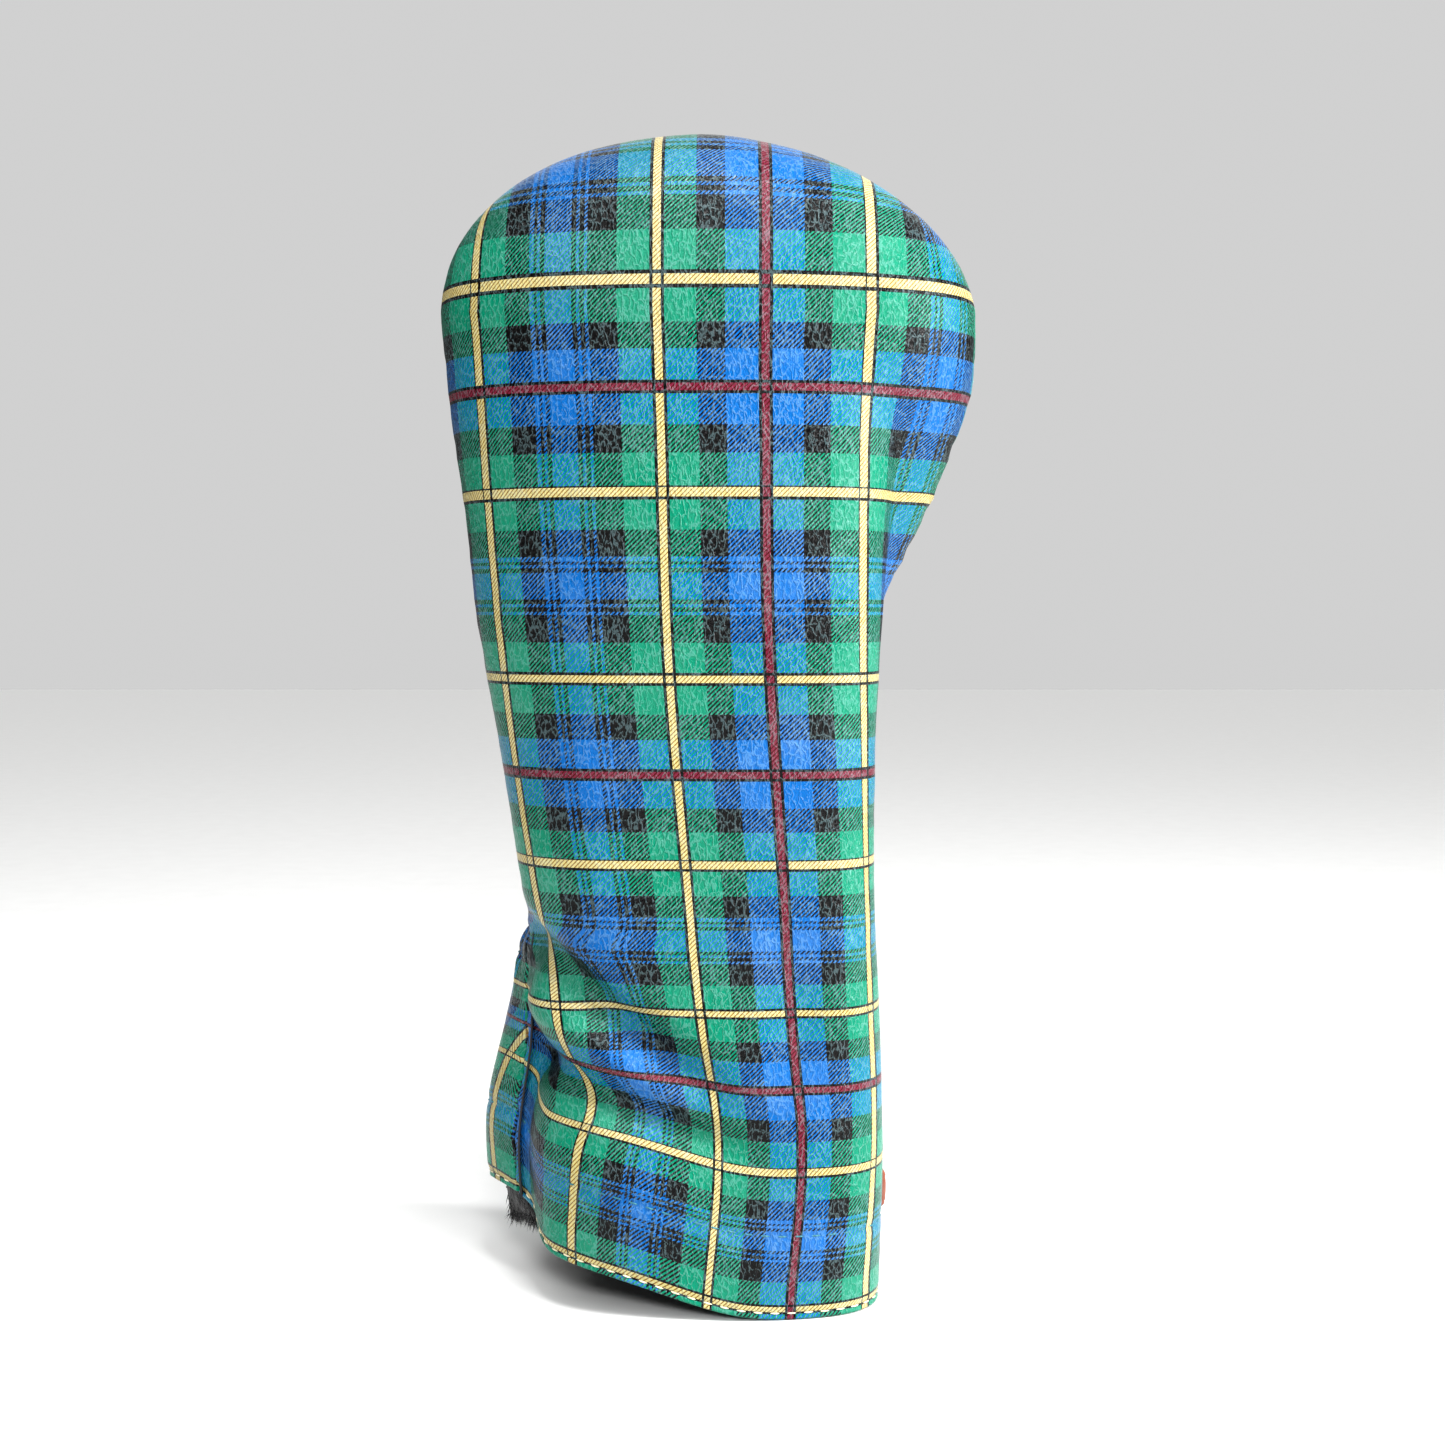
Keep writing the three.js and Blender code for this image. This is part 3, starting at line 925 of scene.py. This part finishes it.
def front_print(points, row):
    """Print map of the front: arc length pinned to the three yellow lines of each row."""
    arc, _ = arc_lengths(points)
    middle = points[:, points.shape[1] // 2, 2]
    knots = [crossing_arc(points[..., 0], arc, curve(middle)) for curve in upright_lines]
    first, second, third = [knot[:, None] for knot in knots]
    share_blue = (arc - first) / np.maximum(second - first, 1e-3)
    share_red = (arc - second) / np.maximum(third - second, 1e-3)
    across = np.where(arc < second, share_blue * blue_width, blue_width + share_red * red_width)
    slowed = LEFT_LIMIT * np.tanh((arc - first) / LEFT_LIMIT)
    across = np.where(arc < first, slowed, across)
    across = np.where(arc > third, blue_width + red_width + arc - third, across)
    across = over_crown(across, arc, points[..., 0], row)
    return np.stack([across - blue_width, -level_print(row, points)], axis=-1)


def back_print(points, row):
    """Print map of the back: plain arc length across, with a red half at the middle."""
    arc, _ = arc_lengths(points)
    middle = arc[:, points.shape[1] // 2, None]
    across = over_crown(arc - middle + BACK_PRINT_SHIFT, arc, points[..., 0], row)
    return np.stack([across, -level_print(row, points)], axis=-1)


# %% [markdown]
# ## The two panels
# Each panel is one sheet from the hem over the crown, seamed to its neighbour along both
# sides and across the top. Its rows lie closer together at the hem and in the skirt, where
# the cloth does most, and its columns close up towards the seams, where the edge rolls in.
# The maps are taken from a calm copy of the surface without its fine puckers, which would
# make the printed lines tremble.

# %% Panels
panel_thickness = 1.3
skirt_top = 124
hem_rows = np.linspace(0, 3, 8)
skirt_rows = np.linspace(3, skirt_top, 104)[1:]
head_rows = np.linspace(skirt_top, equator, 84)[1:]
crown_rows = equator + crown_rise * eased_shares(66, pull=0.9)[1:]
panel_rows = np.concatenate([hem_rows, skirt_rows, head_rows, crown_rows])
panel_columns = 164
sides = {"front": -1, "back": 1}
print_maps = {"front": front_print, "back": back_print}

for name, side in sides.items():
    share, row = np.meshgrid(eased_shares(panel_columns), panel_rows)
    points = shaped(side, share, row)
    points[-1] = points[-1].mean(axis=0)
    calm = shaped(side, share, row, fine=False)
    calm[-1] = points[-1]
    prints = print_maps[name](calm, row)
    panel = grid_piece(f"{name}_panel_cloth", points, side,
                       (printed_leathercloth, leathercloth_backing), pole=True,
                       Print=prints, Cloth=cloth_map(calm, row))
    thicken(panel, panel_thickness, inner_slot=1)
    declare(panel, "printed_leathercloth", f"{name}_panel")

# %% [markdown]
# ## The layers inside
# Under the leathercloth lie a thin foam, which keeps the head round, and a fleece lining.
# A strip of leathercloth faces the hem, a tape covers the seam, and three elastics pull the
# neck in at the back. They are the same surface taken deeper, so each follows the folds of
# the panel above it. They leave out its fine puckers and rolled edges, which press into
# them a little. The fleece alone hangs out, at the left, where the hem is lifted.

# %% Depths of the layers
foam_depth = 1.6
foam_thickness = 3
lining_depth = 4.9
lining_thickness = 2.6
lining_sag = 9  # how far the fleece drops at the left, where the hem is lifted
tape_thickness = 0.6
elastic_thickness = 1.0
facing_thickness = 1.3
facing_height = 25
seam_margin = 4.4  # how far foam and facings end before the seam
foam_starts = {"front": 25.5, "back": 131}


def inner_layer(side, depth, rows, columns, margin, sag=0.0):
    """A layer at a depth whose columns run between two points set in from the seams."""
    dense_share, dense_row = np.meshgrid(np.linspace(0, 1, 240), rows)
    arc, length = arc_lengths(place(side, dense_share, dense_row, depth))
    edge = np.minimum(margin, length * 0.4)
    wanted = edge + (length - 2 * edge) * np.linspace(0, 1, columns)
    share = np.array([np.interp(want, run, dense_share[0]) for want, run in zip(wanted, arc)])
    row = np.repeat(np.asarray(rows)[:, None], columns, axis=1)
    return shaped(side, share, row, depth, fine=False, sag=sag)


def length_map(points):
    """Cloth map of a plain layer: arc length across and up, from its first corner."""
    return np.stack([arc_lengths(points)[0], climbed_lengths(points)], axis=-1)


def add_layer(name, side, depth, thickness, rows, columns, margin, material, sag=0.0):
    """One inner layer as a thickened grid, and the grid's points."""
    points = inner_layer(side, depth, rows, columns, margin, sag)
    piece = grid_piece(name, points, side, material, Cloth=length_map(points))
    return thicken(piece, thickness), points


# %% Foam, facings and linings
for name, side in sides.items():
    rows = np.linspace(foam_starts[name], crown_height - 3, 110)
    foam, _ = add_layer(f"{name}_foam", side, foam_depth, foam_thickness, rows, 80,
                        seam_margin, grey_foam)
    stand_for(foam, "grey_foam", f"{name}_padding")

    rows = np.linspace(0.3, facing_height, 26)
    facing, points = add_layer(f"{name}_facing_cloth", side, foam_depth, facing_thickness, rows,
                               110, seam_margin, leathercloth_backing)
    declare(facing, "leathercloth_backing", f"{name}_hem_facing")

    rows = np.concatenate([np.linspace(0.2, skirt_top, 60),
                           np.linspace(skirt_top, crown_height - 1.2, 90)[1:]])
    lining, points = add_layer(f"{name}_fleece", side, lining_depth, lining_thickness, rows, 96,
                               0.2, black_fleece, sag=lining_sag)
    declare(lining, "black_fleece", f"{name}_lining")

# %% Seam tape and elastics
tape_half_width = 4
tape_bends = np.linspace(-tape_half_width, tape_half_width, 13)


def tape_grid():
    """A strip centred on the seam, from the left hem over the crown to the right hem.

    Each row bends round a circle through the seam: a point's angle has its sine at offset /
    radius. Near the top of the crown the two halves of the strip meet in one band of quads.
    """
    body = np.linspace(0.5, equator, 120)
    left = np.concatenate([body, equator + crown_rise * np.linspace(0.02, 0.86, 26)])
    half_strips = []
    for share_at_seam in (0, 1):
        strip = []
        for offset in tape_bends:
            side = -1 if offset < 0 else 1
            share = np.full((len(left), 1), float(share_at_seam))
            point = place(side, share, left[:, None], foam_depth)[:, 0]
            reach = np.abs(point[:, 0])
            point[:, 0] = np.sign(point[:, 0]) * np.sqrt(np.maximum(reach ** 2 - offset ** 2, 0))
            point[:, 1] = offset
            strip.append(point)
        half_strips.append(np.stack(strip, axis=1))
    return np.concatenate([half_strips[0], half_strips[1][::-1]])


points = tape_grid()
tape = grid_piece("seam_tape_strip", points, 1, woven_tape, Cloth=length_map(points))
thicken(tape, tape_thickness)
stand_for(tape, "woven_tape", "seam_tape")

elastic_width = 9
for name, height in zip(("lower", "middle", "upper"), elastic_rows):
    rows = height + np.linspace(-elastic_width / 2, elastic_width / 2, 13)
    elastic, _ = add_layer(f"{name}_elastic_band", 1, foam_depth + 0.5, elastic_thickness, rows,
                           200, 7.3, black_elastic)
    stand_for(elastic, "black_elastic", f"{name}_neck_elastic")

# %% [markdown]
# ## Stitches
# A lockstitch shows as one short bar of thread after another, each with its ends pulled into
# the cloth. One bar is a small ring-and-spoke solid of a few dozen faces. All bars of a row
# are placed at once, along the tangent of the row and a little above the cloth. The hem
# edge is sewn in cream, to be seen; the other rows are sewn in sea green, which sinks into
# the tartan.

# %% Stitch bars
stitch_pitch = 4.6
stitch_length = 2.8
thread_radius = 0.24
end_dip = 0.3  # how deep the ends of a stitch go into the cloth


def bar_template(rings=5, spokes=6):
    """A spindle along the X axis: its radius is the root of 1 minus the fourth power of x."""
    along = np.linspace(-0.92, 0.92, rings)
    around = np.linspace(0, 2 * np.pi, spokes, endpoint=False)
    radius = (1 - along ** 4)[:, None] ** 0.5
    ring_points = np.stack([np.repeat(along[:, None], spokes, axis=1), radius * np.cos(around),
                            radius * np.sin(around)], axis=-1).reshape(-1, 3)
    tips = [[-1, 0, 0], [1, 0, 0]]
    index = np.arange(rings * spokes).reshape(rings, spokes)
    turned = np.roll(index, -1, axis=1)
    sides_of_bar = np.stack([index[:-1], turned[:-1], turned[1:], index[1:]], axis=-1)
    faces = sides_of_bar.reshape(-1, 4).tolist()
    first, last = rings * spokes, rings * spokes + 1
    faces += [[a, b, first] for a, b in zip(index[0], turned[0])]
    faces += [[b, a, last] for a, b in zip(index[-1], turned[-1])]
    return np.concatenate([ring_points, tips]), [list(map(int, face)) for face in faces]


def stitch_row(name, side, height, node, thread, margin=2.4, lift=0.12):
    """Bars of thread along one row of a panel, from seam to seam.

    The row and its two neighbours are worked out, which gives the normals along it.
    """
    share, row = np.meshgrid(eased_shares(400), [height - 0.6, height, height + 0.6])
    points = shaped(side, share, row)
    normals = outward(points, side)
    arc, length = arc_lengths(points)
    count = int((length[1, 0] - 2 * margin) // stitch_pitch)
    start = (length[1, 0] - (count - 1) * stitch_pitch) / 2
    middles = start + stitch_pitch * np.arange(count)

    def along(values, where):
        """Values of the middle row at these lengths along it."""
        return np.stack([np.interp(where, arc[1], values[1, :, k]) for k in range(3)], axis=-1)

    centre = along(points, middles)
    half = stitch_length / 2
    tangent = along(points, middles + half) - along(points, middles - half)
    tangent /= np.linalg.norm(tangent, axis=-1, keepdims=True)
    normal = along(normals, middles)
    normal -= (normal * tangent).sum(axis=-1, keepdims=True) * tangent
    normal /= np.linalg.norm(normal, axis=-1, keepdims=True)
    binormal = np.cross(tangent, normal)
    template, faces = bar_template()
    bent = template * [half, thread_radius, thread_radius]
    bent[:, 2] -= end_dip * template[:, 0] ** 2
    whole = (centre + normal * lift)[:, None, :]
    for k, axis in enumerate((tangent, binormal, normal)):
        whole = whole + bent[None, :, k, None] * axis[:, None, :]
    offsets = np.arange(count) * len(template)
    all_faces = [[corner + int(offset) for corner in face] for offset in offsets for face in faces]
    stand_for(add_piece(name, whole, all_faces, thread), "cream_thread", node)
    print(f"{name}: {count} stitches")


for name, side in sides.items():
    stitch_row(f"{name}_hem_edge_stitches", side, hem_edge_row, f"{name}_hem_edge_thread",
               cream_thread)
    stitch_row(f"{name}_hem_top_stitches", side, hem_top_row, f"{name}_hem_top_thread",
               sea_green_thread)
for name, height in zip(("lower", "middle", "upper"), elastic_rows):
    stitch_row(f"{name}_elastic_stitches", 1, height, f"{name}_elastic_thread",
               sea_green_thread)

# %% [markdown]
# ## The side tab
# A small folded tab of tan leather is caught in the right seam just above the hem row. Only
# its rounded fold stands out. It is a superellipsoid, flat between the panels, with a few
# fine wrinkles across the fold.

# %% Side tab
tab_low, tab_high = node_box("side_tab")
TAB_PROUD = 1.1  # the fold clears the cloth that swells beside the seam


def tab_grid(rows=40, columns=48):
    """Each coordinate is the signed power of a sphere's, so the block has soft corners."""
    tilt, turn = np.meshgrid(np.linspace(-np.pi / 2, np.pi / 2, rows),
                             np.linspace(0, 2 * np.pi, columns), indexing="ij")

    def soft(value, power):
        """A power of the value's size that keeps its sign."""
        return np.sign(value) * np.abs(value) ** power

    half = (tab_high - tab_low) / 2
    unit = np.stack([soft(np.cos(tilt), 0.5) * soft(np.cos(turn), 0.7),
                     soft(np.cos(tilt), 0.5) * soft(np.sin(turn), 0.7),
                     soft(np.sin(tilt), 0.5)], axis=-1)
    points = (tab_low + tab_high) / 2 + unit * half
    wrinkle = 0.1 * np.sin(points[..., 2] * 4.1 + np.sin(points[..., 2] * 1.3) * 2)
    points[..., 0] += (TAB_PROUD + wrinkle) * np.clip(unit[..., 0], 0, 1)
    points[:, -1] = points[:, 0]
    return points


def closed_grid(name, points, material):
    """A grid whose last column meets the first and whose end rows are single points."""
    rows, columns = points.shape[0], points.shape[1] - 1
    inner = points[1:-1, :-1].reshape(-1, 3)
    rank = np.arange((rows - 2) * columns).reshape(rows - 2, columns)
    turned = np.roll(rank, -1, axis=1)
    corners = (rank[:-1], turned[:-1], turned[1:], rank[1:])
    faces = np.stack(corners, axis=-1).reshape(-1, 4).tolist()
    bottom, top = len(inner), len(inner) + 1
    faces += [[bottom, int(b), int(a)] for a, b in zip(rank[0], turned[0])]
    faces += [[top, int(a), int(b)] for a, b in zip(rank[-1], turned[-1])]
    ends = [points[0].mean(axis=0), points[-1].mean(axis=0)]
    return add_piece(name, np.concatenate([inner, ends]), faces, material)


tab = closed_grid("side_tab_leather", tab_grid(), tan_leather)
stand_for(tab, "tan_leather", "side_tab")

# %% [markdown]
# ## Pile at the mouth
# The fleece is seen only at the mouth, where its pile hangs below the lifted left side of
# the hem. Each fibre is a thin three-sided spike with one bend, seven faces in all, rooted
# on the lining and combed downwards. None reaches the floor on which the cover stands.

# %% Pile
rng = np.random.default_rng(11)
pile_top = 14
pile_lengths = {"front": 2.4, "back": 5}
root_radius, bend_radius = 0.17, 0.11


def pile_fibres(name, side, count, reach):
    """Spikes from random places near the lining's lower edge.

    The lowest point down and the higher ones point inwards, and each bends a little its own
    way. A spike that would reach the floor is shortened to the room that it has.
    """
    share = rng.uniform(0, 1, count)[None, :]
    height = (rng.uniform(0, 1, count) ** 1.6 * pile_top)[None, :]
    depth = rng.uniform(lining_depth, lining_depth + lining_thickness, count)
    root = place(side, share, height, depth[None, :], lining_sag)[0]
    inward = -root * [1, 1, 0]
    inward /= np.linalg.norm(inward, axis=-1, keepdims=True)
    low = np.exp(-height[0] / 4)
    direction = inward * (0.9 - 0.75 * low)[:, None] + rng.normal(0, 0.35, (count, 3))
    direction[:, 2] -= 0.5 + 0.7 * low
    direction /= np.linalg.norm(direction, axis=-1, keepdims=True)
    size = reach * rng.uniform(0.6, 1.1, count)
    fall = np.maximum(-direction[:, 2], 0.05)
    room = np.where(direction[:, 2] < -0.05, (root[:, 2] - 0.5) / fall, size)
    size = np.clip(np.minimum(size, room), 0.5, None)[:, None]
    curl = rng.normal(0, 0.25, (count, 3))
    middle = root + direction * size * 0.55 + curl * [1, 1, 0] * size * 0.2
    tip = root + direction * size + curl * [1, 1, 0.2] * size * 0.3
    tip[:, 2] = np.maximum(tip[:, 2], 0.3)
    middle[:, 2] = np.maximum(middle[:, 2], 0.4)
    around = np.array([0, 2, 4]) * np.pi / 3
    slanting = [0.3, 0.5, 0.81]  # any direction will do, as long as no spike shares it
    across = np.cross(direction, slanting)
    across /= np.linalg.norm(across, axis=-1, keepdims=True)
    other = np.cross(direction, across)
    ring_of = np.cos(around)[:, None, None] * across + np.sin(around)[:, None, None] * other
    levels = [root + ring_of * root_radius, middle + ring_of * bend_radius, tip[None]]
    vertices = np.concatenate(levels).transpose(1, 0, 2)
    faces = [[0, 1, 4, 3], [1, 2, 5, 4], [2, 0, 3, 5], [3, 4, 6], [4, 5, 6], [5, 3, 6], [2, 1, 0]]
    all_faces = [[7 * k + corner for corner in face] for k in range(count) for face in faces]
    stand_for(add_piece(name, vertices, all_faces, black_fleece), "black_fleece")


for name, side in sides.items():
    pile_fibres(f"{name}_pile", side, 7000, pile_lengths[name])
print(len(placed), "pieces placed")

# %% [markdown]
# ## Floor, light and camera
# The floor is plain and pale. A small softbox in front gives the skin its glints, a tall
# strip at the right draws the sheen along the right ridge, and a box above lights the crown.
# Two very soft skies, one in front and one behind, fill the rest, because a row of hard
# boxes would leave edges on the floor. The world is plain white and shows brighter behind
# the cover than the light it gives, so the background stays pale and the colours stay deep.
# The camera stands half a metre away, level with the shoulder, and looks slightly down.

# %% Floor
floor_reach = 4000
floor_material, tree, shader, source = new_material("Pale floor")
speckle = noise(tree, source.outputs["Object"], 60.0, 3.0)
floor_tone = blend(tree, speckle.outputs[0], srgb(240, 240, 239), srgb(247, 247, 246))
tree.links.new(floor_tone, shader.inputs["Base Color"])
shader.inputs["Roughness"].default_value = 0.9
floor = add_piece("floor", [[-floor_reach, -floor_reach, 0], [floor_reach, -floor_reach, 0],
                            [floor_reach, floor_reach, 0], [-floor_reach, floor_reach, 0]],
                  [[0, 1, 2, 3]], floor_material)

# %% Lights


def add_lamp(name, kind, power):
    """A light of one kind, linked to the scene."""
    data = bpy.data.lights.new(name, kind)
    data.energy = power
    lamp = bpy.data.objects.new(name, data)
    bpy.context.scene.collection.objects.link(lamp)
    return lamp


def softbox(name, where, aim, size, power):
    """An area light at one place that faces another, both in metres."""
    lamp = add_lamp(name, "AREA", power)
    lamp.data.shape = "RECTANGLE"
    lamp.data.size, lamp.data.size_y = size
    lamp.location = where
    lamp.rotation_euler = (Vector(aim) - Vector(where)).to_track_quat("-Z", "Y").to_euler()


middle_of_cover = (0, 0, 0.17)
softbox("key", (0.12, -1.25, 0.75), middle_of_cover, (0.28, 0.28), 7.5)
softbox("side strip", (0.95, -0.3, 0.3), middle_of_cover, (0.1, 0.8), 16)
softbox("top", (0.1, -0.34, 1.0), (0, 0, 0.25), (0.24, 0.24), 6)


def soft_sky(name, energy, tilt, turn):
    """An even light from far away, soft as a bright ceiling; its angles are in degrees."""
    lamp = add_lamp(name, "SUN", energy)
    lamp.data.angle = math.radians(60)
    lamp.rotation_euler = (math.radians(tilt), math.radians(turn), 0)


soft_sky("front sky", 1.35, 24, -8)
soft_sky("back sky", 0.6, -50, 10)
print("lights", [light.name for light in bpy.data.lights])

# %% World and display
SEEN_EXTRA = 0.42  # how much brighter the world is where the camera sees it
WORLD_LIGHT = 0.13
world = bpy.data.worlds.new("Studio")
bpy.context.scene.world = world
world.use_nodes = True
room = world.node_tree.nodes["Background"]
room.inputs["Color"].default_value = (1, 1, 1, 1)
seen = world.node_tree.nodes.new("ShaderNodeLightPath")
glow = maths(world.node_tree, "MULTIPLY_ADD", seen.outputs["Is Camera Ray"], SEEN_EXTRA,
             WORLD_LIGHT)
world.node_tree.links.new(glow, room.inputs["Strength"])
bpy.context.scene.view_settings.view_transform = "Standard"
bpy.context.scene.view_settings.look = "Medium High Contrast"

# %% Camera
camera_place = Vector((0.0042, -0.540, 0.1918))  # metres
camera_aim = Vector((0.0042, 0, 0.1597))
lens_data = bpy.data.cameras.new("camera")
lens_data.lens = 47.9
lens_data.sensor_width = 36
camera = bpy.data.objects.new("camera", lens_data)
bpy.context.scene.collection.objects.link(camera)
camera.location = camera_place
camera.rotation_euler = (camera_aim - camera_place).to_track_quat("-Z", "Y").to_euler()
bpy.context.scene.camera = camera
